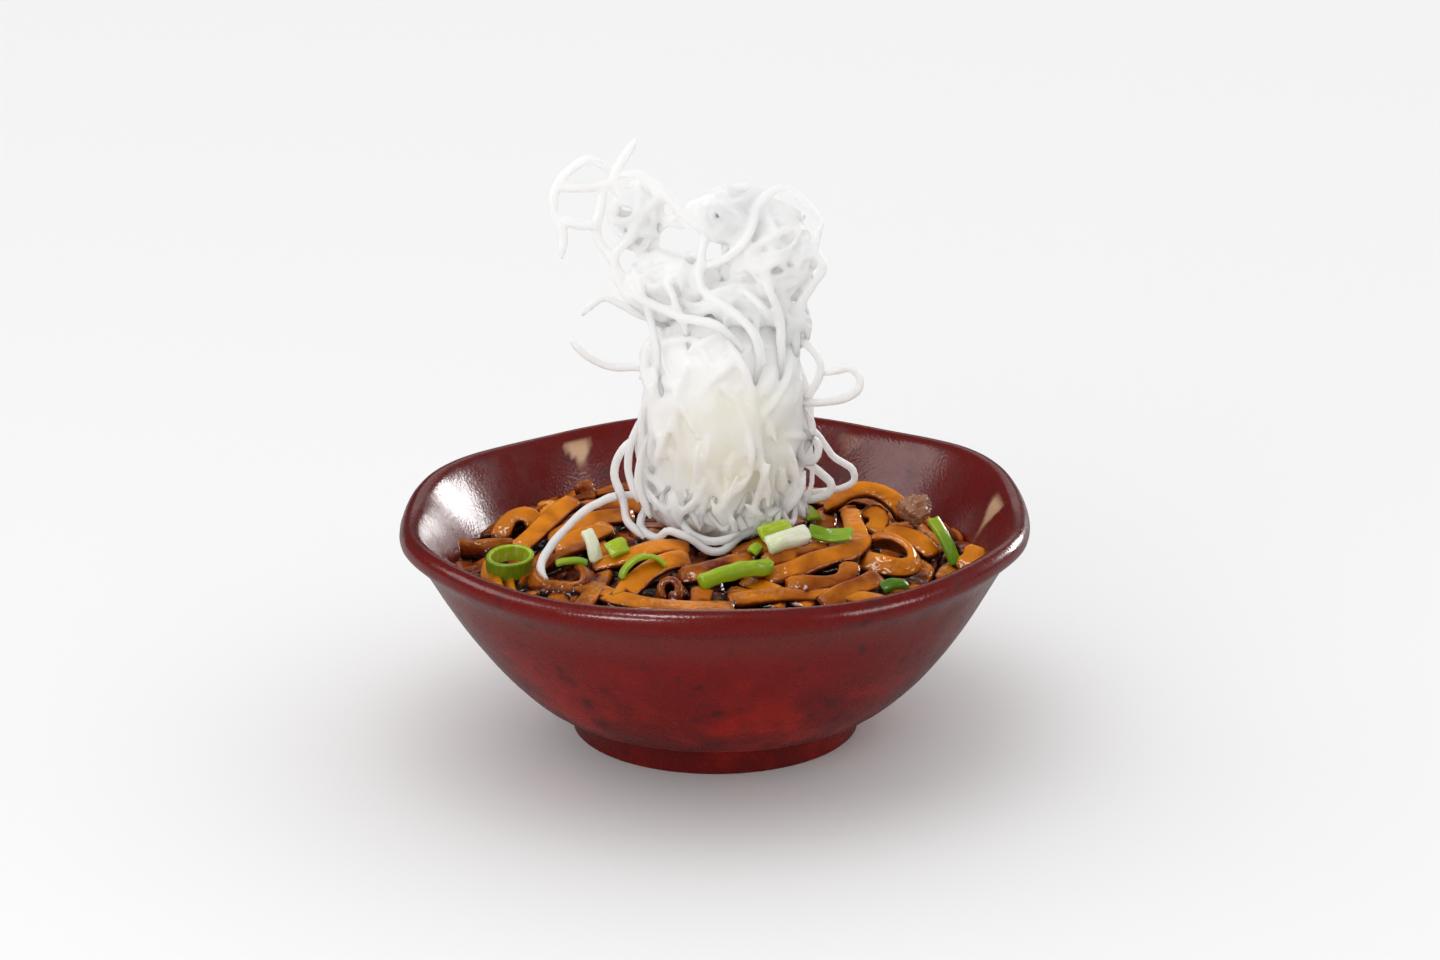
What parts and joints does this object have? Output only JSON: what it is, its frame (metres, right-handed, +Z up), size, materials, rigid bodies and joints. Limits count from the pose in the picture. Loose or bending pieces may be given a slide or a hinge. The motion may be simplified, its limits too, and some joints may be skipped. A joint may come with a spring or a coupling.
{
  "type": "bowl of noodles",
  "caption": "Hand-shaped red glazed bowl filled with thick brown-sauced noodles, cut scallion and a tall nest of crisp fried rice noodle.",
  "frame": {"origin": "middle of the bowl's foot, on the surface that it stands on", "axes": "+Z up, +X to the right and +Y to the back as seen from the front, with the loose tail of fried noodle at the front left"},
  "size_m": [0.1784, 0.1824, 0.1725],
  "materials": {
    "glaze": "glossy oxblood glaze",
    "sauced_noodle": "wet, coated in brown sauce",
    "fried_rice_noodle": "dry, puffed, slightly rough",
    "scallion_green": "moist leaf",
    "scallion_white": "moist stalk",
    "browned_meat": "browned, wet"
  },
  "bodies": {
    "root": {"bowl": "glaze", "noodles": "sauced_noodle", "rice_noodle_nest": "fried_rice_noodle", "meat_crumb": "browned_meat", "scallion_ring_left": "scallion_green", "scallion_white_left": "scallion_white", "scallion_lime_left": "scallion_green", "scallion_sliver_left": "scallion_green", "scallion_arch_front": "scallion_green", "scallion_roll_front": "scallion_green", "scallion_crumb_front": "scallion_green", "scallion_white_block": "scallion_white", "scallion_lime_block": "scallion_green", "scallion_leaf_right": "scallion_green", "scallion_strip_right": "scallion_green", "scallion_stick_right": "scallion_green", "scallion_tuft_right": "scallion_green", "scallion_ring_back": "scallion_green", "scallion_strip_back": "scallion_green", "scallion_white_back": "scallion_white"}
  },
  "joints": []
}
